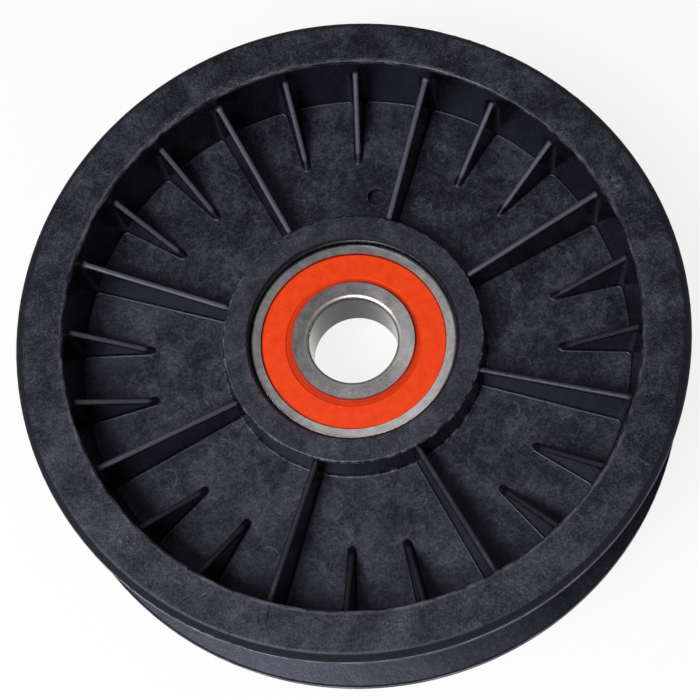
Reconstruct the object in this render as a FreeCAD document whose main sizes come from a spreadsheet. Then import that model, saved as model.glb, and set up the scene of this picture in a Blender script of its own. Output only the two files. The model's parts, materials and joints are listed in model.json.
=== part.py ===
import FreeCAD
import Part
import Sketcher
import os

# Flanged flat idler pulley: a moulded wheel carried on a sealed deep groove ball bearing.
# The origin is on the spin axis, in the middle plane of the wheel and of the bearing.
# +Z points out of the front face, and a long rib of the wheel lies along +X.

# Driving sizes in millimetres, degrees and counts.
SIZES = {
    "wheel_width": 31.75,
    "tread_diameter": 114.0,
    "flange_height": 6.5,
    "flange_edge": 3.1,
    "flange_root": 4.1,
    "rim_wall_mouth": 2.6,
    "rim_wall_floor": 3.7,
    "web_front": 0.6,
    "web_thickness": 3.2,
    "hub_wall": 5.0,
    "hub_draft": 0.6,
    "hub_recess": 2.0,
    "seat_clearance": 0.01,
    "seat_chamfer": 0.5,
    "shoulder_thickness": 2.0,
    "shoulder_width": 1.8,
    "long_rib_count": 8,
    "rib_top_radius": 0.65,
    "rib_draft": 2.6,
    "rib_rim_drop": 3.5,
    "rib_hub_drop": 1.0,
    "short_rib_length": 14.1,
    "rib_corner_radius": 1.2,
    "rib_floor_radius": 0.4,
    "flange_edge_radius": 1.8,
    "groove_edge_radius": 0.5,
    "rim_mouth_radius": 0.5,
    "tread_corner_radius": 1.0,
    "hub_edge_radius": 0.4,
    "floor_radius": 0.8,
    "mark_diameter": 3.8,
    "mark_depth": 0.15,
    "deep_mark_depth": 1.6,
    "mark_rib_offset": 4.6,
    "mark_hub_distance": 6.4,
    "mark_rim_distance": 9.4,
    "bore_diameter": 17.0,
    "bearing_diameter": 40.0,
    "ball_count": 8,
    "ball_diameter": 6.747,
    "ball_clearance": 0.02,
    "race_excess": 0.1,
    "race_depth": 1.3,
    "outer_land": 2.1,
    "inner_land": 3.3,
    "bore_edge_radius": 0.8,
    "ring_edge_radius": 0.6,
    "cage_sheet": 0.5,
    "cage_width": 2.6,
    "pocket_clearance": 0.12,
    "rivet_diameter": 1.0,
    "rivet_clearance": 0.01,
    "rivet_head_diameter": 1.9,
    "rivet_head_height": 0.4,
    "rivet_head_radius": 0.3,
    "cage_seal_gap": 0.3065,
    "seal_thickness": 1.0,
    "seal_recess": 0.7,
    "seal_edge_gap": 0.15,
    "bead_height": 0.6,
    "bead_depth": 0.35,
    "bead_clearance": 0.01,
    "lip_width": 1.05,
    "lip_thickness": 0.4,
    "lip_back": 0.3,
    "lip_clearance": 0.05,
}

# Bearing: radii and heights worked out from the driving sizes.
BALL = "Sizes.ball_diameter / 2"
PITCH = "(Sizes.bore_diameter + Sizes.bearing_diameter) / 4"
BORE = "Sizes.bore_diameter / 2"
BEARING = "Sizes.bearing_diameter / 2"
POCKET = f"({BALL} + Sizes.pocket_clearance)"
CUP = f"({POCKET} + Sizes.cage_sheet)"
SEAL_BACK = f"({CUP} + Sizes.cage_seal_gap)"
SEAL_FACE = f"({SEAL_BACK} + Sizes.seal_thickness)"
BEARING_FACE = f"({SEAL_FACE} + Sizes.seal_recess)"
RACE = f"({BALL} + Sizes.race_excess)"
INNER_RACE_FLOOR = f"({PITCH} - {BALL} - Sizes.ball_clearance)"
OUTER_RACE_FLOOR = f"({PITCH} + {BALL} + Sizes.ball_clearance)"
INNER_LAND = f"({BORE} + Sizes.inner_land)"
OUTER_LAND = f"({BEARING} - Sizes.outer_land)"
BEAD_TOP = f"({SEAL_BACK} + Sizes.bead_height)"
BEAD = f"({OUTER_LAND} + Sizes.bead_depth)"

# Wheel: radii and heights worked out from the driving sizes.
TREAD = "Sizes.tread_diameter / 2"
FLANGE = f"({TREAD} + Sizes.flange_height)"
WHEEL_FACE = "Sizes.wheel_width / 2"
GROOVE_MOUTH = f"({WHEEL_FACE} - Sizes.flange_edge)"
GROOVE_FLOOR = f"({WHEEL_FACE} - Sizes.flange_root)"
RIM_MOUTH = f"({TREAD} - Sizes.rim_wall_mouth)"
RIM_FLOOR = f"({TREAD} - Sizes.rim_wall_floor)"
WEB_REAR = "(Sizes.web_front - Sizes.web_thickness)"
WEB_MIDDLE = "(Sizes.web_front - Sizes.web_thickness / 2)"
SEAT = f"({BEARING} + Sizes.seat_clearance)"
HUB_TOP = f"({BEARING} + Sizes.hub_wall)"
HUB_BASE = f"({HUB_TOP} + Sizes.hub_draft)"
HUB_FRONT = f"({BEARING_FACE} + Sizes.hub_recess)"
HUB_REAR = f"-({BEARING_FACE} + Sizes.shoulder_thickness)"
SHOULDER = f"({BEARING} - Sizes.shoulder_width)"

# Ribs: the way they point and the levels of their feet and ends on each side of the web.
RIB_LEVELS = {
    "front": {
        "way": "1",
        "floor": "Sizes.web_front",
        "face": WHEEL_FACE,
        "rim": f"({WHEEL_FACE} - Sizes.rib_rim_drop)",
        "hub_face": HUB_FRONT,
        "hub": f"({HUB_FRONT} - Sizes.rib_hub_drop)",
    },
    "rear": {
        "way": "-1",
        "floor": WEB_REAR,
        "face": f"(-{WHEEL_FACE})",
        "rim": f"(Sizes.rib_rim_drop - {WHEEL_FACE})",
        "hub_face": HUB_REAR,
        "hub": f"({HUB_REAR} + Sizes.rib_hub_drop)",
    },
}
RIB_PITCH = "360 / (3 * Sizes.long_rib_count)"
RIB_NOSE = f"({RIM_FLOOR} - Sizes.short_rib_length)"
RIB_RIM_END = f"({TREAD} - Sizes.rim_wall_mouth / 2)"
RIB_HUB_END = f"({HUB_TOP} - Sizes.hub_wall / 2)"

FULL_TURN = 360
MATCH = 1e-4

doc = FreeCAD.newDocument("idler_pulley")
sheet = doc.addObject("Spreadsheet::Sheet", "Sizes")
for row, (alias, value) in enumerate(SIZES.items(), start=1):
    sheet.set(f"A{row}", alias)
    sheet.set(f"B{row}", str(value))
    sheet.setAlias(f"B{row}", alias)
doc.recompute()


def size(expression):
    """The number that an expression of the sheet's sizes gives."""
    return float(sheet.evalExpression(expression))


def bind(item, expressions):
    """Ties properties of a document object to the sheet."""
    for path, expression in expressions.items():
        item.setExpression(path, expression)


def origin_feature(body, role):
    return next(f for f in body.Origin.OriginFeatures if f.Role == role)


def new_body(label):
    body = doc.addObject("PartDesign::Body", label)
    body.Label = label
    return body


def new_sketch(body, name, plane, height=None, turn=None):
    """An empty sketch on a plane of the origin, raised along its normal and turned about the spin axis."""
    sketch = body.newObject("Sketcher::SketchObject", name)
    sketch.AttachmentSupport = [(origin_feature(body, plane), "")]
    sketch.MapMode = "FlatFace"
    if turn:
        axis = FreeCAD.Vector(0, 0, 1) if plane == "XY_Plane" else FreeCAD.Vector(0, 1, 0)
        sketch.AttachmentOffset = FreeCAD.Placement(FreeCAD.Vector(), FreeCAD.Rotation(axis, size(turn)))
        bind(sketch, {"AttachmentOffset.Rotation.Angle": turn})
    if turn and plane == "YZ_Plane":
        bind(sketch, {
            "AttachmentOffset.Base.x": f"{height} * sin({turn})",
            "AttachmentOffset.Base.z": f"{height} * cos({turn})",
        })
    elif height:
        bind(sketch, {"AttachmentOffset.Base.z": height})
    return sketch


def dimension(sketch, kind, geometry, point, expression):
    """Holds one coordinate of a sketch point at an expression of the sheet."""
    rule = Sketcher.Constraint(kind, -1, 1, geometry, point, size(expression))
    bind(sketch, {f"Constraints[{sketch.addConstraint(rule)}]": expression})


def draw_outline(sketch, corners):
    """Closed outline of straight lines through corners, each given as two expressions."""
    points = [FreeCAD.Vector(size(x), size(y), 0) for x, y in corners]
    last = len(points) - 1
    for i, point in enumerate(points):
        sketch.addGeometry(Part.LineSegment(point, points[0 if i == last else i + 1]))
    for i in range(len(points)):
        sketch.addConstraint(Sketcher.Constraint("Coincident", i, 2, 0 if i == last else i + 1, 1))
    for i, (x, y) in enumerate(corners):
        dimension(sketch, "DistanceX", i, 1, x)
        dimension(sketch, "DistanceY", i, 1, y)


def draw_circle(sketch, x, y, radius):
    centre = FreeCAD.Vector(size(x), size(y), 0)
    circle = sketch.addGeometry(Part.Circle(centre, FreeCAD.Vector(0, 0, 1), size(radius)))
    dimension(sketch, "DistanceX", circle, 3, x)
    dimension(sketch, "DistanceY", circle, 3, y)
    rule = Sketcher.Constraint("Radius", circle, size(radius))
    bind(sketch, {f"Constraints[{sketch.addConstraint(rule)}]": radius})


def turned(body, kind, name, corners):
    """Revolution or Groove of an outline given as radius and height."""
    sketch = new_sketch(body, f"{name}_outline", "XZ_Plane")
    draw_outline(sketch, corners)
    return turn_sketch(body, kind, name, sketch)


def turn_sketch(body, kind, name, sketch):
    feature = body.newObject(f"PartDesign::{kind}", name)
    feature.Profile = sketch
    feature.ReferenceAxis = (sketch, ["V_Axis"])
    feature.Angle = FULL_TURN
    return feature


def race_groove(body, name, radius):
    """Ball track: a round groove turned about the spin axis, centred on the given radius."""
    sketch = new_sketch(body, f"{name}_outline", "XZ_Plane")
    draw_circle(sketch, radius, "0", RACE)
    return turn_sketch(body, "Groove", name, sketch)


def around(body, name, originals, count):
    """Copies of features spaced evenly around the spin axis."""
    pattern = body.newObject("PartDesign::PolarPattern", name)
    pattern.Originals = originals
    pattern.Axis = (origin_feature(body, "Z_Axis"), [""])
    pattern.Angle = FULL_TURN
    bind(pattern, {"Occurrences": count})
    body.Tip = pattern
    return pattern


def ring_edges(shape, places):
    """Names of the circular edges at the given radii and heights."""
    wanted = [(size(radius), size(height)) for radius, height in places]
    names = []
    for number, edge in enumerate(shape.Edges, start=1):
        if not isinstance(edge.Curve, Part.Circle):
            continue
        for radius, height in wanted:
            if abs(edge.Curve.Radius - radius) < MATCH and abs(edge.Curve.Center.z - height) < MATCH:
                names.append(f"Edge{number}")
    return names


def rounding(body, name, feature, edges, radius):
    """Fillet on the named edges of a feature."""
    fillet = body.newObject("PartDesign::Fillet", name)
    fillet.Base = (feature, edges)
    bind(fillet, {"Radius": radius})
    doc.recompute()
    return fillet


def round_rings(body, name, feature, places, radius):
    """Fillet on the circular edges at the given radii and heights."""
    doc.recompute()
    return rounding(body, name, feature, ring_edges(feature.Shape, places), radius)


def on_line(x, x_start, y_start, x_end, y_end):
    """Expression for the height of a straight line at x."""
    return f"({y_start} + ({y_end} - {y_start}) * ({x} - {x_start}) / ({x_end} - {x_start}))"


# Wheel

def turn_wheel(body):
    """Hub, web, rim and flanges in one turned outline, with the mould's rounded edges."""
    corners = [
        (SEAT, f"{HUB_FRONT} - Sizes.seat_chamfer"),
        (f"{SEAT} + Sizes.seat_chamfer", HUB_FRONT),
        (HUB_TOP, HUB_FRONT),
        (HUB_BASE, "Sizes.web_front"),
        (RIM_FLOOR, "Sizes.web_front"),
        (RIM_MOUTH, WHEEL_FACE),
        (FLANGE, WHEEL_FACE),
        (FLANGE, GROOVE_MOUTH),
        (TREAD, GROOVE_FLOOR),
        (TREAD, f"-{GROOVE_FLOOR}"),
        (FLANGE, f"-{GROOVE_MOUTH}"),
        (FLANGE, f"-{WHEEL_FACE}"),
        (RIM_MOUTH, f"-{WHEEL_FACE}"),
        (RIM_FLOOR, WEB_REAR),
        (HUB_BASE, WEB_REAR),
        (HUB_TOP, HUB_REAR),
        (SHOULDER, HUB_REAR),
        (SHOULDER, f"-{BEARING_FACE}"),
        (SEAT, f"-{BEARING_FACE}"),
    ]
    feature = turned(body, "Revolution", "wheel_turning", corners)
    roundings = [
        ("flange_edges", "Sizes.flange_edge_radius", [(FLANGE, WHEEL_FACE), (FLANGE, f"-{WHEEL_FACE}")]),
        ("groove_edges", "Sizes.groove_edge_radius", [(FLANGE, GROOVE_MOUTH), (FLANGE, f"-{GROOVE_MOUTH}")]),
        ("rim_mouths", "Sizes.rim_mouth_radius", [(RIM_MOUTH, WHEEL_FACE), (RIM_MOUTH, f"-{WHEEL_FACE}")]),
        ("tread_corners", "Sizes.tread_corner_radius", [(TREAD, GROOVE_FLOOR), (TREAD, f"-{GROOVE_FLOOR}")]),
        ("hub_edges", "Sizes.hub_edge_radius", [(HUB_TOP, HUB_FRONT), (HUB_TOP, HUB_REAR)]),
        ("rear_floor_corners", "Sizes.floor_radius", [(RIM_FLOOR, WEB_REAR), (HUB_BASE, WEB_REAR)]),
    ]
    for name, radius, places in roundings:
        feature = round_rings(body, name, feature, places, radius)


def rib_section(body, name, side, radius, top, turn):
    """Cross section of a rib at a radius: drafted sides from inside the web up to a round top."""
    section = new_sketch(body, name, "YZ_Plane", radius, turn)
    way = RIB_LEVELS[side]["way"]
    shoulder = f"({top} - {way} * Sizes.rib_top_radius * (1 - sin(Sizes.rib_draft)))"
    top_half = "(Sizes.rib_top_radius * cos(Sizes.rib_draft))"
    foot_half = f"({top_half} + abs({shoulder} - {WEB_MIDDLE}) * tan(Sizes.rib_draft))"
    corners = [
        (f"-{way} * {foot_half}", WEB_MIDDLE),
        (f"{way} * {foot_half}", WEB_MIDDLE),
        (f"{way} * {top_half}", shoulder),
        (f"-{way} * {top_half}", shoulder),
    ]
    points = [FreeCAD.Vector(size(x), size(y), 0) for x, y in corners]
    summit = FreeCAD.Vector(0, size(top), 0)
    section.addGeometry(Part.LineSegment(points[0], points[1]))
    section.addGeometry(Part.LineSegment(points[1], points[2]))
    arc = section.addGeometry(Part.Arc(points[2], summit, points[3]))
    section.addGeometry(Part.LineSegment(points[3], points[0]))
    for i, (x, y) in enumerate(corners):
        section.addConstraint(Sketcher.Constraint("Coincident", i, 2, (i + 1) % len(corners), 1))
        dimension(section, "DistanceX", i, 1, x)
        dimension(section, "DistanceY", i, 1, y)
    rule = Sketcher.Constraint("Radius", arc, size("Sizes.rib_top_radius"))
    bind(section, {f"Constraints[{section.addConstraint(rule)}]": "Sizes.rib_top_radius"})
    return section


def rib(body, name, side, ends, turn=None):
    """Rib along a radius of the wheel between two ends, each given as a radius and a top level."""
    sections = [rib_section(body, f"{name}_end_{i}", side, *end, turn) for i, end in enumerate(ends)]
    loft = body.newObject("PartDesign::AdditiveLoft", name)
    loft.Profile = sections[0]
    loft.Sections = sections[1:]
    loft.Ruled = True
    return loft


def rim_wall(side):
    """Radius of the rim's inner wall at the level where the ribs meet it."""
    levels = RIB_LEVELS[side]
    return on_line(levels["rim"], levels["floor"], RIM_FLOOR, levels["face"], RIM_MOUTH)


def short_rib(body, side, turn):
    """Gusset whose top falls from the rim down to the web and runs out in it."""
    levels = RIB_LEVELS[side]
    sunk = f"(({levels['floor']} + {WEB_MIDDLE}) / 2)"
    slope = (RIB_NOSE, levels["floor"], rim_wall(side), levels["rim"])
    run_out = on_line(sunk, levels["floor"], RIB_NOSE, levels["rim"], rim_wall(side))
    ends = [(run_out, sunk), (RIB_RIM_END, on_line(RIB_RIM_END, *slope))]
    name = f"{side}_short_rib_{'ahead' if turn > 0 else 'behind'}"
    return rib(body, name, side, ends, f"{turn} * {RIB_PITCH}")


def long_rib(body, side):
    """Spoke from the rim to the hub whose top falls towards the hub."""
    levels = RIB_LEVELS[side]
    hub = on_line(levels["hub"], levels["floor"], HUB_BASE, levels["hub_face"], HUB_TOP)
    slope = (hub, levels["hub"], rim_wall(side), levels["rim"])
    ends = [(radius, on_line(radius, *slope)) for radius in (RIB_HUB_END, RIB_RIM_END)]
    return rib(body, f"{side}_long_rib", side, ends)


def edge_points(edge):
    """The middle of an edge, followed by its ends."""
    middle = edge.valueAt((edge.FirstParameter + edge.LastParameter) / 2)
    return [middle] + [vertex.Point for vertex in edge.Vertexes]


def axis_distance(point):
    return point.sub(FreeCAD.Vector(0, 0, point.z)).Length


def floor_edges(shape):
    """Names of the edges where walls and ribs rise from the front of the web."""
    names = []
    for number, edge in enumerate(shape.Edges, start=1):
        if all(abs(point.z - size("Sizes.web_front")) < MATCH for point in edge_points(edge)):
            names.append(f"Edge{number}")
    return names


def corner_edges(shape):
    """Names of the upright edges between the rim and the sides of the front ribs."""
    names = []
    for number, edge in enumerate(shape.Edges, start=1):
        points = edge_points(edge)
        on_rim = size(RIM_FLOOR) < axis_distance(points[0]) < size(RIM_MOUTH)
        heights = [point.z - size("Sizes.web_front") for point in points]
        if on_rim and abs(min(heights)) < MATCH and max(heights) > MATCH:
            names.append(f"Edge{number}")
    return names


def round_front_ribs(body, feature):
    """The mould's rounded corners around the ribs on the front of the web."""
    doc.recompute()
    corners = rounding(body, "rib_corners", feature, corner_edges(feature.Shape), "Sizes.rib_corner_radius")
    rounding(body, "rib_feet", corners, floor_edges(corners.Shape), "Sizes.rib_floor_radius")


def ejector_marks(body):
    """Round witness marks of the ejector pins beside the long ribs, one of them deep."""
    inner = f"({HUB_BASE} + Sizes.mark_hub_distance)"
    outer = f"({RIM_FLOOR} - Sizes.mark_rim_distance)"
    radius = "Sizes.mark_diameter / 2"
    shallow = new_sketch(body, "mark_circles", "XY_Plane", "Sizes.web_front")
    for distance in (inner, outer):
        for offset in ("Sizes.mark_rib_offset", "-Sizes.mark_rib_offset"):
            draw_circle(shallow, distance, offset, radius)
    marks = body.newObject("PartDesign::Pocket", "marks")
    marks.Profile = shallow
    bind(marks, {"Length": "Sizes.mark_depth"})
    around(body, "all_marks", [marks], "Sizes.long_rib_count")

    deep = new_sketch(body, "deep_mark_circle", "XY_Plane", "Sizes.web_front", "360 / Sizes.long_rib_count")
    draw_circle(deep, inner, "Sizes.mark_rib_offset", radius)
    hole = body.newObject("PartDesign::Pocket", "deep_mark")
    hole.Profile = deep
    bind(hole, {"Length": "Sizes.deep_mark_depth"})


def pulley_wheel():
    body = new_body("pulley_wheel")
    turn_wheel(body)
    for side in RIB_LEVELS:
        short_ribs = [short_rib(body, side, 1), short_rib(body, side, -1)]
        around(body, f"{side}_short_ribs", short_ribs, "Sizes.long_rib_count")
        ribs = around(body, f"{side}_long_ribs", [long_rib(body, side)], "Sizes.long_rib_count")
    round_front_ribs(body, ribs)
    ejector_marks(body)
    return body


# Bearing

def outer_ring():
    body = new_body("outer_ring")
    shoulder = f"{OUTER_RACE_FLOOR} - Sizes.race_depth"
    seat_top = f"{BEAD_TOP} + Sizes.bead_clearance"
    seat_floor = f"{BEAD} + Sizes.bead_clearance"
    front = [
        (OUTER_LAND, BEARING_FACE),
        (OUTER_LAND, seat_top),
        (seat_floor, seat_top),
        (seat_floor, SEAL_BACK),
        (shoulder, SEAL_BACK),
    ]
    rear = [(radius, f"-({height})") for radius, height in reversed(front)]
    corners = [(BEARING, f"-{BEARING_FACE}"), (BEARING, BEARING_FACE)] + front + rear
    turned(body, "Revolution", "ring", corners)
    track = race_groove(body, "track", f"{OUTER_RACE_FLOOR} - {RACE}")
    edges = [(BEARING, BEARING_FACE), (BEARING, f"-{BEARING_FACE}")]
    round_rings(body, "edges", track, edges, "Sizes.ring_edge_radius")
    return body


def inner_ring():
    body = new_body("inner_ring")
    shoulder = f"{INNER_RACE_FLOOR} + Sizes.race_depth"
    step = f"({SEAL_BACK} - Sizes.cage_seal_gap)"
    corners = [
        (BORE, f"-{BEARING_FACE}"),
        (INNER_LAND, f"-{BEARING_FACE}"),
        (INNER_LAND, f"-{step}"),
        (shoulder, f"-{step}"),
        (shoulder, step),
        (INNER_LAND, step),
        (INNER_LAND, BEARING_FACE),
        (BORE, BEARING_FACE),
    ]
    turned(body, "Revolution", "ring", corners)
    track = race_groove(body, "track", f"{INNER_RACE_FLOOR} + {RACE}")
    edges = [(BORE, BEARING_FACE), (BORE, f"-{BEARING_FACE}")]
    round_rings(body, "edges", track, edges, "Sizes.bore_edge_radius")
    return body


def seal(label, turn_over):
    """Moulded rubber seal: a snap bead in the outer ring, a flat disc and a thin lip on the inner ring."""
    body = new_body(label)
    lip = f"({INNER_LAND} + Sizes.lip_clearance)"
    lip_back = f"({SEAL_BACK} + Sizes.lip_back)"
    lip_front = f"({lip_back} + Sizes.lip_thickness)"
    lip_root = f"({lip} + Sizes.lip_width)"
    rim = f"({OUTER_LAND} - Sizes.seal_edge_gap)"
    turned(body, "Revolution", "disc", [
        (lip, lip_back),
        (lip, lip_front),
        (lip_root, lip_front),
        (f"{lip_root} + Sizes.lip_back", SEAL_FACE),
        (rim, SEAL_FACE),
        (rim, BEAD_TOP),
        (BEAD, BEAD_TOP),
        (BEAD, SEAL_BACK),
        (lip_root, SEAL_BACK),
        (f"{lip_root} - Sizes.lip_back", lip_back),
    ])
    body.Placement.Rotation = FreeCAD.Rotation(FreeCAD.Vector(1, 0, 0), turn_over)
    return body


def ball(number):
    sphere = doc.addObject("Part::Sphere", f"ball_{number}")
    sphere.Label = sphere.Name
    angle = f"({number} - 1) * 360 / Sizes.ball_count"
    bind(sphere, {
        "Radius": BALL,
        "Placement.Base.x": f"{PITCH} * cos({angle})",
        "Placement.Base.y": f"{PITCH} * sin({angle})",
    })
    return sphere


def ball_space(body, kind, name, radius):
    """A sphere about the first ball's centre, repeated for every ball."""
    sphere = body.newObject(f"PartDesign::{kind}", name)
    sphere.AttachmentSupport = [(origin_feature(body, "XY_Plane"), "")]
    sphere.MapMode = "FlatFace"
    bind(sphere, {"Radius": radius, "AttachmentOffset.Base.x": PITCH})
    around(body, f"{name}s", [sphere], "Sizes.ball_count")


def cage_half(label, turn_over):
    """Pressed steel ribbon: a round cup over each ball and a flat riveted pad between the balls."""
    body = new_body(label)
    inner = f"({PITCH} - Sizes.cage_width / 2)"
    outer = f"({PITCH} + Sizes.cage_width / 2)"

    ribbon = new_sketch(body, "ribbon_plan", "XY_Plane")
    draw_circle(ribbon, "0", "0", inner)
    draw_circle(ribbon, "0", "0", outer)
    pads = body.newObject("PartDesign::Pad", "pads")
    pads.Profile = ribbon
    bind(pads, {"Length": "Sizes.cage_sheet"})

    ball_space(body, "AdditiveSphere", "cup", CUP)
    turned(body, "Groove", "trim", [
        (f"{inner} - {CUP}", f"-2 * {CUP}"),
        (f"{outer} + {CUP}", f"-2 * {CUP}"),
        (f"{outer} + {CUP}", f"2 * {CUP}"),
        (outer, f"2 * {CUP}"),
        (outer, "0"),
        (inner, "0"),
        (inner, f"2 * {CUP}"),
        (f"{inner} - {CUP}", f"2 * {CUP}"),
    ])
    ball_space(body, "SubtractiveSphere", "pocket", POCKET)

    between_balls = "180 / Sizes.ball_count"
    holes = new_sketch(body, "rivet_hole_plan", "XY_Plane")
    draw_circle(holes, f"{PITCH} * cos({between_balls})", f"{PITCH} * sin({between_balls})",
                "Sizes.rivet_diameter / 2 + Sizes.rivet_clearance")
    hole = body.newObject("PartDesign::Pocket", "rivet_hole")
    hole.Profile = holes
    hole.SideType = "Symmetric"
    bind(hole, {"Length": "4 * Sizes.cage_sheet"})
    around(body, "rivet_holes", [hole], "Sizes.ball_count")
    body.Placement.Rotation = FreeCAD.Rotation(FreeCAD.Vector(1, 0, 0), turn_over)
    return body


def cage_rivet(number):
    """Shank through both ribbon pads with a rounded head at each end."""
    body = new_body(f"cage_rivet_{number}")
    shank = "Sizes.rivet_diameter / 2"
    head = "Sizes.rivet_head_diameter / 2"
    seat = "Sizes.cage_sheet"
    top = f"({seat} + Sizes.rivet_head_height)"
    turning = turned(body, "Revolution", "rivet", [
        ("0", f"-{top}"),
        (head, f"-{top}"),
        (head, f"-{seat}"),
        (shank, f"-{seat}"),
        (shank, seat),
        (head, seat),
        (head, top),
        ("0", top),
    ])
    ends = [(head, top), (head, f"-{top}")]
    round_rings(body, "heads", turning, ends, "Sizes.rivet_head_radius")
    angle = f"({number} - 0.5) * 360 / Sizes.ball_count"
    bind(body, {
        "Placement.Base.x": f"{PITCH} * cos({angle})",
        "Placement.Base.y": f"{PITCH} * sin({angle})",
    })
    return body


balls = range(1, SIZES["ball_count"] + 1)
pieces = [pulley_wheel(), outer_ring(), inner_ring(), seal("front_seal", 0), seal("rear_seal", 180)]
pieces += [cage_half("cage_front_half", 0), cage_half("cage_rear_half", 180)]
pieces += [ball(number) for number in balls]
pieces += [cage_rivet(number) for number in balls]
doc.recompute()

for item in doc.Objects:
    if "Invalid" in item.State or "Error" in item.State:
        raise RuntimeError(f"{item.Name} failed: {item.State}")
for piece in pieces:
    if piece.Shape.isNull() or not piece.Shape.isValid() or len(piece.Shape.Solids) != 1:
        raise RuntimeError(f"{piece.Label} is not one valid solid")

os.makedirs("parts", exist_ok=True)
for piece in pieces:
    piece.Shape.exportStep(f"parts/{piece.Label}.step")
    print(f"{piece.Label}: {piece.Shape.Volume:.2f} mm3")
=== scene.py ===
import json
import math

import bpy
from mathutils import Matrix, Vector


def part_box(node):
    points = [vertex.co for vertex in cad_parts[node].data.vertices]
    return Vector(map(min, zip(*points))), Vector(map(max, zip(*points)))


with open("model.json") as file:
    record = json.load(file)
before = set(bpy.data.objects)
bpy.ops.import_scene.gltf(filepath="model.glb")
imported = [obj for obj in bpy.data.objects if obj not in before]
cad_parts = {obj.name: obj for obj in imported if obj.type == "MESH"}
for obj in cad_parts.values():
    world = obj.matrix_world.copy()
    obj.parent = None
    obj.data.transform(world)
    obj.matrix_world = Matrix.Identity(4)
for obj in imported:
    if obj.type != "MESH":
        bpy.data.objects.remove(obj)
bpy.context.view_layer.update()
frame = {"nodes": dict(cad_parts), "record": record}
nodes = frame["nodes"]
scene = bpy.context.scene

MM = 0.001


def reach(node, axis):
    """How far a node reaches from the origin along +X, +Y or +Z, in millimetres."""
    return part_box(node)[1][axis] / MM


# Radii and heights that the materials follow, in millimetres.
FLANGE = reach("pulley_wheel", 0)
WHEEL_FACE = reach("pulley_wheel", 2)
FLANGE_EDGE = 3.1
RIM_MOUTH = 54.4
HUB = 25.0
HUB_FACE = 8.0
WEB_FRONT = 0.6
LONG_RIBS = 8
MARK_ASIDE = 4.6
MARK_RADII = (32.0, 43.9)
MARK_SIZE = 1.9
BORE = 8.5
BORE_EDGE = 0.8
SEAL_LIP = 12.9
SEAL_RIM = 17.75

# Heights of the two painted highlight lines above the groove's edge, on the outside of each flange.
FLANGE_GLINT_HEIGHTS = (0.4, 1.6)

# Scuffed places on the front of the rim: angle in degrees, radius, half length and half width in mm.
RIM_SCUFFS = (
    (29.0, 55.6, 4.0, 1.5),
    (15.0, 55.9, 3.5, 1.6),
    (-1.5, 56.9, 5.5, 2.4),
    (-16.0, 55.9, 4.0, 1.6),
    (-27.0, 57.2, 3.0, 1.6),
    (-152.0, 56.3, 5.0, 2.0),
    (-164.0, 57.2, 5.0, 2.6),
    (-110.0, 57.0, 4.0, 2.0),
    (86.0, 55.4, 7.0, 1.4),
    (100.0, 55.2, 5.0, 1.2),
)
SCUFF_DEPTH = 1.5

# Black nylon: the moulded skin, the grey bloom on it, the marks of moulding and wear, and painted
# highlights and shade.
NYLON = (0.0006, 0.0006, 0.0009, 1)
# Bloom colour, also painted light on the faces that look along the axis.
NYLON_BLOOM_AND_FACE_LIGHT = (0.095, 0.095, 0.13, 1)
NYLON_FIBRE = (0.09, 0.09, 0.11, 1)
NYLON_SCORE = (0.0008, 0.0008, 0.001, 1)
NYLON_SCUFF = (0.13, 0.13, 0.16, 1)
# Painted highlight lines at the flange edges.
NYLON_GLINT = (0.26, 0.27, 0.34, 1)
# Wear and painted highlight on the rim's mouth and the hub's edge.
NYLON_WORN_AND_HIGHLIT = (0.15, 0.15, 0.18, 1)
NYLON_HUB = (0.1, 0.1, 0.13, 1)
# Wear and painted highlight on the rib crests.
NYLON_CREST_WEAR_AND_HIGHLIGHT = (0.12, 0.12, 0.15, 1)
# Painted highlight at the hub's foot, and the ejector mark rings.
NYLON_FOOT_HIGHLIGHT_AND_RINGS = (0.2, 0.2, 0.25, 1)
NYLON_SHEEN = (0.72, 0.76, 1.0, 1)

# Bearing steel with its painted shade, highlight and reflection colours, sheet steel and ball steel.
STEEL_DULL = (0.45, 0.425, 0.44, 1)
STEEL_BRIGHT = (0.85, 0.82, 0.83, 1)
# Painted shade on the inner ring.
STEEL_SHADE = (0.14, 0.132, 0.13, 1)
STEEL_PIT = (0.07, 0.065, 0.062, 1)
# Painted warm highlight on the bore's bevel.
STEEL_EDGE_HIGHLIGHT = (0.74, 0.7, 0.62, 1)
# The bore's plain steel, and its painted dark reflection.
BORE_STEEL = (0.4, 0.39, 0.39, 1)
BORE_DARK_REFLECTION = (0.016, 0.014, 0.015, 1)
CAGE_DULL = (0.3, 0.29, 0.28, 1)
CAGE_BRIGHT = (0.52, 0.5, 0.48, 1)
BALL_DULL = (0.58, 0.58, 0.58, 1)
BALL_BRIGHT = (0.74, 0.73, 0.72, 1)

# Orange rubber, with a painted shade colour.
RUBBER_DEEP = (0.8, 0.044, 0.0014, 1)
RUBBER_LIGHT = (0.89, 0.058, 0.0022, 1)
RUBBER_DUST = (0.9, 0.22, 0.09, 1)
# Painted shade at the lip and the rim.
RUBBER_SHADE = (0.36, 0.014, 0.001, 1)


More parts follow.
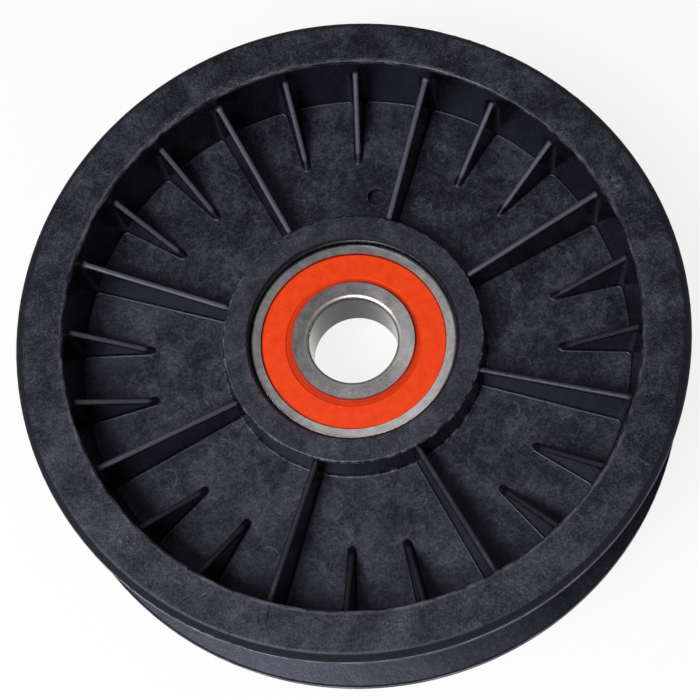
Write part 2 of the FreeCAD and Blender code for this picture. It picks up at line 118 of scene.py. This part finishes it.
class Tree:
    """A node tree, with short ways to add and link its nodes."""

    def __init__(self, owner):
        owner.use_nodes = True
        self.tree = owner.node_tree
        self.tree.nodes.clear()

    def add(self, kind, **settings):
        node = self.tree.nodes.new(kind)
        for name, value in settings.items():
            setattr(node, name, value)
        return node

    def feed(self, socket, value):
        """Links an output to the socket, or sets the socket to a plain value."""
        if isinstance(value, bpy.types.NodeSocket):
            self.tree.links.new(value, socket)
        else:
            socket.default_value = value

    def split(self, vector):
        node = self.add("ShaderNodeSeparateXYZ")
        self.feed(node.inputs[0], vector)
        return node.outputs

    def math(self, operation, *values):
        node = self.add("ShaderNodeMath", operation=operation)
        for socket, value in zip(node.inputs, values):
            self.feed(socket, value)
        return node.outputs[0]

    def product(self, *values):
        total = values[0]
        for value in values[1:]:
            total = self.math("MULTIPLY", total, value)
        return total

    def largest(self, *values):
        total = values[0]
        for value in values[1:]:
            total = self.math("MAXIMUM", total, value)
        return total


class Graph(Tree):
    """The node tree of one material, with places measured in millimetres from the part's origin."""

    INPUTS = {
        "colour": "Base Color",
        "roughness": "Roughness",
        "metal": "Metallic",
        "specular": "Specular IOR Level",
        "tint": "Specular Tint",
    }
    NOISE_RANGE = (0.34, 0.66)

    def __init__(self, name):
        self.material = bpy.data.materials.new(name)
        super().__init__(self.material)
        self.shader = self.add("ShaderNodeBsdfPrincipled")
        output = self.add("ShaderNodeOutputMaterial")
        self.feed(output.inputs["Surface"], self.shader.outputs["BSDF"])
        coordinates = self.add("ShaderNodeTexCoord")
        scale = self.add("ShaderNodeVectorMath", operation="SCALE")
        self.feed(scale.inputs[0], coordinates.outputs["Object"])
        scale.inputs["Scale"].default_value = 1 / MM
        self.place = scale.outputs[0]
        self.across, self.along, self.height = self.split(self.place)
        self.level = self.math("ABSOLUTE", self.height)
        squares = [self.math("MULTIPLY", side, side) for side in (self.across, self.along)]
        self.radius = self.math("SQRT", self.math("ADD", *squares))
        self.upright = self.math("ABSOLUTE", self.split(coordinates.outputs["Normal"])[2])

    def weighted(self, *parts):
        """Sum of values, each given with its weight."""
        total = 0.0
        for weight, value in parts:
            total = self.math("MULTIPLY_ADD", value, weight, total)
        return total

    def rest(self, value):
        """What a value leaves of 1."""
        return self.math("SUBTRACT", 1.0, value)

    def polar(self, around, outward, upward=0.0):
        """Coordinates that run round the spin axis and outward from it, each with its own scale."""
        node = self.add("ShaderNodeCombineXYZ")
        for socket, side in zip(node.inputs, (self.across, self.along)):
            self.feed(socket, self.product(self.math("DIVIDE", side, self.radius), around))
        self.feed(node.inputs[2], self.weighted((outward, self.radius), (upward, self.height)))
        return node.outputs[0]

    def noise(self, place, scale=1.0, detail=3.0, roughness=0.5, distortion=0.0):
        node = self.add("ShaderNodeTexNoise")
        self.feed(node.inputs["Vector"], place)
        node.inputs["Scale"].default_value = scale
        node.inputs["Detail"].default_value = detail
        node.inputs["Roughness"].default_value = roughness
        node.inputs["Distortion"].default_value = distortion
        return node.outputs["Fac"]

    def specks(self, scale, size, share):
        """Small round spots at a share of the cells of a random pattern."""
        node = self.add("ShaderNodeTexVoronoi")
        self.feed(node.inputs["Vector"], self.place)
        node.inputs["Scale"].default_value = scale
        spot = self.span(node.outputs["Distance"], size, size / 2)
        chance = self.math("LESS_THAN", self.split(node.outputs["Color"])[0], share)
        return self.product(spot, chance)

    def span(self, value, start, end):
        """0 at start, 1 at end and a smooth step between them."""
        node = self.add("ShaderNodeMapRange", interpolation_type="SMOOTHSTEP")
        self.feed(node.inputs["Value"], value)
        node.inputs["From Min"].default_value = start
        node.inputs["From Max"].default_value = end
        return node.outputs["Result"]

    def stretched(self, noise):
        """A noise with its usual range brought to 0 to 1."""
        return self.span(noise, *self.NOISE_RANGE)

    def scaled(self, value, low, high):
        """A value of 0 to 1 brought to the range from low to high."""
        node = self.add("ShaderNodeMapRange")
        self.feed(node.inputs["Value"], value)
        node.inputs["To Min"].default_value = low
        node.inputs["To Max"].default_value = high
        return node.outputs["Result"]

    def band(self, value, middle, half, soft):
        """1 near a middle value and 0 away from it."""
        away = self.math("ABSOLUTE", self.math("SUBTRACT", value, middle))
        return self.span(away, half + soft, half)

    def mix(self, factor, first, second):
        node = self.add("ShaderNodeMix", data_type="RGBA")
        self.feed(node.inputs["Factor"], factor)
        colours = [socket for socket in node.inputs if socket.type == "RGBA"]
        self.feed(colours[0], first)
        self.feed(colours[1], second)
        return next(socket for socket in node.outputs if socket.type == "RGBA")

    def tinted(self, colour, *layers):
        """A colour turned towards others, each given with its amount and the share of it that counts."""
        for amount, share, other in layers:
            colour = self.mix(self.product(amount, share), colour, other)
        return colour

    def bump(self, *layers):
        """Bump from layers of height, strength and depth in millimetres."""
        for height, strength, depth in layers:
            node = self.add("ShaderNodeBump")
            self.feed(node.inputs["Height"], height)
            node.inputs["Strength"].default_value = strength
            node.inputs["Distance"].default_value = depth * MM
            normal = self.shader.inputs["Normal"]
            if normal.is_linked:
                self.feed(node.inputs["Normal"], normal.links[0].from_socket)
            self.feed(normal, node.outputs["Normal"])

    def finish(self, **sockets):
        for name, value in sockets.items():
            self.feed(self.shader.inputs[self.INPUTS[name]], value)
        return self.material


def rim_scores(g):
    """Dark radial hairlines in some places of the rim's faces."""
    faces = g.product(g.span(g.level, WHEEL_FACE - 0.25, WHEEL_FACE - 0.05),
                      g.span(g.radius, RIM_MOUTH - 1, RIM_MOUTH))
    lines = g.noise(g.polar(42.0, 0.2), detail=4.0, roughness=0.6, distortion=0.8)
    places = g.noise(g.place, scale=0.08)
    return g.product(g.span(lines, 0.4, 0.28), g.span(places, 0.42, 0.6), faces)


def scuff_oval(g, angle, radius, length, width):
    """A soft oval spot on the front of the rim, long round the axis and narrow across it."""
    turn = math.radians(angle)
    node = g.add("ShaderNodeMapping", vector_type="TEXTURE")
    g.feed(node.inputs["Vector"], g.place)
    node.inputs["Location"].default_value = (radius * math.cos(turn), radius * math.sin(turn), WHEEL_FACE)
    node.inputs["Rotation"].default_value = (0, 0, turn)
    node.inputs["Scale"].default_value = (width, length, SCUFF_DEPTH)
    distance = g.add("ShaderNodeVectorMath", operation="LENGTH")
    g.feed(distance.inputs[0], node.outputs[0])
    return g.span(distance.outputs["Value"], 1.0, 0.2)


def rim_scuffs(g):
    """Light flecks at the scuffed places of the rim."""
    flecks = g.noise(g.place, scale=1.1, detail=5.0, roughness=0.75, distortion=1.2)
    ovals = [scuff_oval(g, *scuff) for scuff in RIM_SCUFFS]
    return g.product(g.largest(*ovals), g.span(flecks, 0.47, 0.62))


def flange_glints(g, wear_and_glint_patches):
    """Painted highlight lines round the outside of both flanges, broken up in places."""
    bands = [g.band(g.level, WHEEL_FACE - FLANGE_EDGE + up, 0.22, 0.1) for up in FLANGE_GLINT_HEIGHTS]
    outermost = g.span(g.radius, FLANGE - 0.6, FLANGE - 0.4)
    return g.product(g.largest(*bands), outermost, g.scaled(wear_and_glint_patches, 0.45, 1.0))


def worn_and_highlit_edges(g, wear_and_glint_patches):
    """The rim's mouth and the hub's edge, lighter in places as wear and as a painted highlight."""
    mouth = g.product(g.band(g.radius, RIM_MOUTH, 0.4, 0.6),
                      g.span(g.level, WHEEL_FACE - 0.9, WHEEL_FACE - 0.4))
    hub = g.product(g.band(g.radius, HUB - 0.1, 0.15, 0.2),
                    g.span(g.level, HUB_FACE - 0.7, HUB_FACE - 0.4))
    return g.product(g.largest(g.product(mouth, 0.65), hub), wear_and_glint_patches)


def hub_faces(g):
    return g.product(g.span(g.radius, HUB, HUB - 0.3), g.span(g.level, HUB_FACE - 0.3, HUB_FACE - 0.1))


def rib_crests(g, grain):
    """The tops of the ribs, lighter as wear and as a painted highlight, most on the +Y side."""
    ribs = g.product(g.span(g.radius, HUB + 0.3, HUB + 0.8),
                     g.span(g.radius, RIM_MOUTH - 0.2, RIM_MOUTH - 0.9),
                     g.span(g.level, WEB_FRONT + 1.0, WEB_FRONT + 1.8))
    # Painted highlight: lighter towards +Y, mottled by the grain.
    wear_and_highlight = g.product(g.scaled(g.span(g.along, -20, 12), 0.25, 1.0), g.scaled(grain, 0.7, 1.2))
    return g.product(ribs, g.span(g.upright, 0.45, 0.8), wear_and_highlight)


def mark_rings(g):
    """Thin outlines of the round ejector marks on both sides of every long rib."""
    angle = g.math("ARCTAN2", g.along, g.across)
    away = g.math("PINGPONG", angle, math.tau / LONG_RIBS / 2)
    outward = g.product(g.radius, g.math("COSINE", away))
    aside = g.math("SUBTRACT", g.product(g.radius, g.math("SINE", away)), MARK_ASIDE)
    rings = []
    for centre in MARK_RADII:
        offset = g.math("SUBTRACT", outward, centre)
        squares = g.math("ADD", g.product(offset, offset), g.product(aside, aside))
        rings.append(g.band(g.math("SQRT", squares), MARK_SIZE, 0.08, 0.15))
    return g.largest(*rings)


def web_outlines(g, wear_and_glint_patches, blotches):
    """Light lines on the web: a painted highlight round the foot of the hub, and faintly round the ejector
    marks.
    """
    # Painted highlight round the foot of the hub.
    foot = g.product(g.band(g.radius, HUB + 0.75, 0.1, 0.15),
                     g.band(g.level, WEB_FRONT + 0.1, 0.3, 0.2), wear_and_glint_patches)
    marks = g.product(mark_rings(g), g.band(g.height, WEB_FRONT, 0.3, 0.2), g.span(blotches, 0.36, 0.6))
    return g.largest(g.product(foot, 0.6), g.product(marks, 0.2))


def wheel_plastic():
    """Glass-filled black nylon: cloudy and grainy, with scuffs on the rim, worn edges, and painted
    highlights and shade.
    """
    g = Graph("wheel_nylon")
    clouds = g.noise(g.place, scale=0.13, detail=5.0, roughness=0.6, distortion=0.3)
    blotches = g.noise(g.place, scale=0.8, detail=4.0, roughness=0.62)
    grain = g.noise(g.place, scale=2.4, detail=3.0, roughness=0.7)
    # A patchy pattern that breaks up the worn edges and the painted highlight lines.
    wear_and_glint_patches = g.span(g.noise(g.polar(14.0, 0.8, 0.8), detail=5.0, roughness=0.7), 0.42, 0.66)
    tone = g.weighted((0.3, g.stretched(clouds)), (0.2, g.stretched(blotches)), (0.34, g.stretched(grain)))

    flat = g.span(g.upright, 0.93, 0.995)
    outside = g.span(g.radius, RIM_MOUTH + 0.8, RIM_MOUTH + 1.2)
    groove_shade = g.product(outside, g.span(g.level, WHEEL_FACE - 0.4, WHEEL_FACE - 1))
    # Grey bloom mottled by the tone, with painted light: full on faces that look along the axis, a tenth
    # on the walls, and painted shade that cuts it to 0.4 on the flanges' outsides and groove.
    bloom_and_face_light = g.product(g.math("POWER", tone, 2.0), g.scaled(flat, 0.1, 1.0), g.scaled(groove_shade, 1.0, 0.4))
    fibres = g.product(g.specks(1.7, 0.3, 0.22), g.span(blotches, 0.4, 0.6))
    scores = rim_scores(g)
    scuffs = rim_scuffs(g)
    colour = g.tinted(
        g.mix(bloom_and_face_light, NYLON, NYLON_BLOOM_AND_FACE_LIGHT),
        (fibres, 0.35, NYLON_FIBRE),
        (scores, 0.9, NYLON_SCORE),
        (scuffs, 0.75, NYLON_SCUFF),
        # Painted highlight lines round the flanges.
        (flange_glints(g, wear_and_glint_patches), 0.9, NYLON_GLINT),
        # Wear and painted highlight on the rim's mouth and the hub's edge.
        (worn_and_highlit_edges(g, wear_and_glint_patches), 0.8, NYLON_WORN_AND_HIGHLIT),
        (hub_faces(g), 0.1, NYLON_HUB),
        (rib_crests(g, grain), 0.6, NYLON_CREST_WEAR_AND_HIGHLIGHT),
        (web_outlines(g, wear_and_glint_patches, blotches), 0.8, NYLON_FOOT_HIGHLIGHT_AND_RINGS),
    )

    g.bump((clouds, 0.4, 0.4), (blotches, 0.3, 0.08), (grain, 0.55, 0.06),
           (g.math("SUBTRACT", scuffs, scores), 0.8, 0.12))
    belt_side = g.product(g.rest(flat), outside)
    inner_walls = g.product(g.span(g.upright, 0.5, 0.3), g.rest(outside))
    roughness = g.weighted((1.0, g.scaled(tone, 0.36, 0.54)), (0.4, belt_side), (-0.18, inner_walls))
    return g.finish(colour=colour, roughness=roughness, specular=0.5, tint=NYLON_SHEEN)


def ring_steel():
    """Ground bearing steel: fine rings round the axis, dull patches, painted highlight on one side and
    painted shade on the inner ring, and a bore with light edges that are a painted warm highlight, and a
    painted dark reflection inside.
    """
    g = Graph("ring_steel")
    rings = g.noise(g.polar(2.5, 9.0, 9.0), detail=4.0, roughness=0.65)
    patches = g.noise(g.place, scale=0.4, detail=5.0, roughness=0.6, distortion=0.5)
    mottle = g.span(g.weighted((0.4, rings), (0.6, patches)), 0.3, 0.7)
    # Painted highlight: the steel is lighter towards +X and -Y.
    highlight_side = g.span(g.weighted((0.45, g.across), (-0.9, g.along)), -14, 16)
    tone = g.weighted((0.45, mottle), (0.5, highlight_side))

    # Painted shade: the inner ring is greyer on its -X side, speckled by noise.
    speckle = g.scaled(g.noise(g.place, scale=2.4), 0.2, 1.4)
    inner_ring_shade = g.product(g.span(g.radius, SEAL_LIP, SEAL_LIP - 0.4), g.span(g.across, 9, 0), speckle)
    colour = g.tinted(
        g.mix(tone, STEEL_DULL, STEEL_BRIGHT),
        (inner_ring_shade, 0.5, STEEL_SHADE),
        (g.specks(1.6, 0.3, 0.14), 0.5, STEEL_PIT),
        # Painted warm highlight on the bore's bevel.
        (g.band(g.radius, BORE + BORE_EDGE / 2, BORE_EDGE / 2, 0.15), 0.75, STEEL_EDGE_HIGHLIGHT),
    )

    bore = g.span(g.radius, BORE + 0.12, BORE + 0.04)
    # Painted reflection: the bore wall is darker towards +Y, streaked by noise.
    streaks = g.noise(g.polar(1.6, 0.0, 0.15), detail=3.0, roughness=0.6)
    dark_reflection = g.span(g.weighted((0.04, g.across), (0.11, g.along), (0.7, streaks)), 0.15, 1.0)
    colour = g.mix(bore, colour, g.mix(dark_reflection, BORE_STEEL, BORE_DARK_REFLECTION))

    polished = g.product(g.scaled(rings, 0.12, 0.24), bore)
    dull = g.product(g.scaled(tone, 0.3, 0.52), g.rest(bore))
    g.bump((rings, 0.25, 0.02), (patches, 0.2, 0.06))
    return g.finish(colour=colour, roughness=g.math("ADD", polished, dull), metal=1.0)


def seal_rubber():
    """Orange moulded rubber: satin, faintly mottled, with painted shade at the lip and rim."""
    g = Graph("seal_rubber")
    mottle = g.noise(g.place, scale=0.6, detail=5.0, roughness=0.6)
    grain = g.noise(g.place, scale=5.0, detail=2.0)
    lip = g.span(g.radius, SEAL_LIP + 0.15, SEAL_LIP - 0.25)
    rim = g.span(g.radius, SEAL_RIM - 0.3, SEAL_RIM - 0.05)
    colour = g.tinted(
        g.mix(g.span(mottle, 0.3, 0.7), RUBBER_DEEP, RUBBER_LIGHT),
        (g.specks(0.8, 0.2, 0.14), 0.3, RUBBER_DUST),
        # Painted shade at the lip and at the rim, where the seal meets the rings.
        (g.largest(lip, rim), 0.6, RUBBER_SHADE),
    )
    g.bump((mottle, 0.2, 0.08), (grain, 0.25, 0.02))
    return g.finish(colour=colour, roughness=g.scaled(mottle, 0.46, 0.64), specular=0.25)


def cage_steel():
    """Pressed sheet steel with drawing marks."""
    g = Graph("cage_steel")
    marks = g.noise(g.polar(3.0, 5.0, 5.0), detail=4.0, roughness=0.6)
    g.bump((marks, 0.3, 0.02))
    colour = g.mix(marks, CAGE_DULL, CAGE_BRIGHT)
    return g.finish(colour=colour, roughness=g.scaled(marks, 0.25, 0.5), metal=1.0)


def ball_steel():
    """Lapped and polished ball steel."""
    g = Graph("ball_steel")
    haze = g.noise(g.place, scale=1.2, detail=4.0, roughness=0.6)
    g.bump((g.noise(g.place, scale=9.0), 0.1, 0.005))
    colour = g.mix(haze, BALL_DULL, BALL_BRIGHT)
    return g.finish(colour=colour, roughness=g.scaled(haze, 0.04, 0.14), metal=1.0)


makers = {
    "wheel_nylon": wheel_plastic,
    "ring_steel": ring_steel,
    "seal_rubber": seal_rubber,
    "cage_steel": cage_steel,
    "ball_steel": ball_steel,
}
finishes = {slot: make() for slot, make in makers.items()}
for part in frame["record"]["subparts"]:
    slots = nodes[part["node"]].data.materials
    slots.clear()
    slots.append(finishes[part["material_slot"]])


# Floor: pale, nearly white to the camera, with the soft shadow of the part. Lengths in metres.
FLOOR_LEVEL = (-WHEEL_FACE - 0.3) * MM
FLOOR_HALF = 3.0
FLOOR_COLOUR = (0.9, 0.9, 0.9, 1)
FLOOR_WHITE = 0.86
SEEN_RAYS = ("Is Camera Ray", "Is Glossy Ray", "Is Transmission Ray")


def floor_material():
    """Matt and pale, but mostly plain white to the rays that show it to the camera."""
    material = bpy.data.materials.new("floor_white")
    t = Tree(material)
    matt = t.add("ShaderNodeBsdfDiffuse")
    matt.inputs["Color"].default_value = FLOOR_COLOUR
    glow = t.add("ShaderNodeEmission")
    glow.inputs["Strength"].default_value = 1.0
    rays = t.add("ShaderNodeLightPath")
    seen = t.largest(*(rays.outputs[name] for name in SEEN_RAYS))
    mixed = t.add("ShaderNodeMixShader")
    t.feed(mixed.inputs["Fac"], t.product(seen, FLOOR_WHITE))
    t.feed(mixed.inputs[1], matt.outputs[0])
    t.feed(mixed.inputs[2], glow.outputs[0])
    output = t.add("ShaderNodeOutputMaterial")
    t.feed(output.inputs["Surface"], mixed.outputs[0])
    return material


floor_mesh = bpy.data.meshes.new("floor")
floor_signs = ((-1, -1), (1, -1), (1, 1), (-1, 1))
floor_corners = [(x * FLOOR_HALF, y * FLOOR_HALF, FLOOR_LEVEL) for x, y in floor_signs]
floor_mesh.from_pydata(floor_corners, [], [(0, 1, 2, 3)])
floor_mesh.materials.append(floor_material())
floor = bpy.data.objects.new("floor", floor_mesh)
scene.collection.objects.link(floor)


# World: soft studio surroundings, as the height of a direction and the light from there.
HORIZON = (0.0, 0.6)
OVERHEAD = (0.18, 0.18)


def studio_world():
    """Light at the horizon and dim overhead."""
    world = bpy.data.worlds.new("studio")
    t = Tree(world)
    direction = t.add("ShaderNodeTexCoord")
    shade = t.add("ShaderNodeMapRange")
    t.feed(shade.inputs["Value"], t.split(direction.outputs["Generated"])[2])
    shade.inputs["From Min"].default_value, shade.inputs["To Min"].default_value = HORIZON
    shade.inputs["From Max"].default_value, shade.inputs["To Max"].default_value = OVERHEAD
    surroundings = t.add("ShaderNodeBackground")
    surroundings.inputs["Color"].default_value = (1, 1, 1, 1)
    t.feed(surroundings.inputs["Strength"], shade.outputs["Result"])
    output = t.add("ShaderNodeOutputWorld")
    t.feed(output.inputs["Surface"], surroundings.outputs[0])
    return world


scene.world = studio_world()


# Camera: the photograph's viewpoint, seen from above and from the -Y side. Lengths in metres, lens in mm.
AIM = Vector((0, 0, 0.005))
DISTANCE = 0.3657
AZIMUTH = math.radians(-106.55)
ELEVATION = math.radians(70.19)
ROLL = math.radians(-13.3)
FOCAL_LENGTH = 97.85
SENSOR_WIDTH = 36.0
SHIFT = (-0.0051, -0.0123)
NEAR_LIMIT = 0.01

# Key lamp: its place as seen by the camera, to the right, away and up, and its size in metres, with watts.
KEY_PLACE = (-0.26, -0.22, 0.55)
KEY_SIZE = 0.28
KEY_POWER = 4.1


def aimed(position, target, roll=0.0):
    """Matrix of an object at a position whose -Z axis points at a target."""
    back = (position - target).normalized()
    right = Vector((0, 0, 1)).cross(back).normalized()
    turn = Matrix((right, back.cross(right), back)).transposed()
    return Matrix.Translation(position) @ turn.to_4x4() @ Matrix.Rotation(roll, 4, "Z")


def from_camera(sideways, forward, up):
    """A point given as seen by the camera: to its right, away from it, and upwards."""
    away = Vector((-math.cos(AZIMUTH), -math.sin(AZIMUTH), 0))
    right = Vector((away.y, -away.x, 0))
    return right * sideways + away * forward + Vector((0, 0, up))


def softbox(name, position, size, power):
    """A square lamp, with its size in metres and its power in watts, that faces the part."""
    lamp = bpy.data.lights.new(name, "AREA")
    lamp.shape = "SQUARE"
    lamp.size = size
    lamp.energy = power
    light = bpy.data.objects.new(name, lamp)
    scene.collection.objects.link(light)
    light.matrix_world = aimed(position, AIM)


towards_camera = Vector((
    math.cos(ELEVATION) * math.cos(AZIMUTH),
    math.cos(ELEVATION) * math.sin(AZIMUTH),
    math.sin(ELEVATION),
))
camera_data = bpy.data.cameras.new("camera")
camera_data.lens = FOCAL_LENGTH
camera_data.sensor_width = SENSOR_WIDTH
camera_data.shift_x, camera_data.shift_y = SHIFT
camera_data.clip_start = NEAR_LIMIT
camera = bpy.data.objects.new("camera", camera_data)
scene.collection.objects.link(camera)
camera.matrix_world = aimed(AIM + towards_camera * DISTANCE, AIM, ROLL)
scene.camera = camera

softbox("key_softbox", from_camera(*KEY_PLACE), KEY_SIZE, KEY_POWER)

scene.view_settings.view_transform = "Standard"
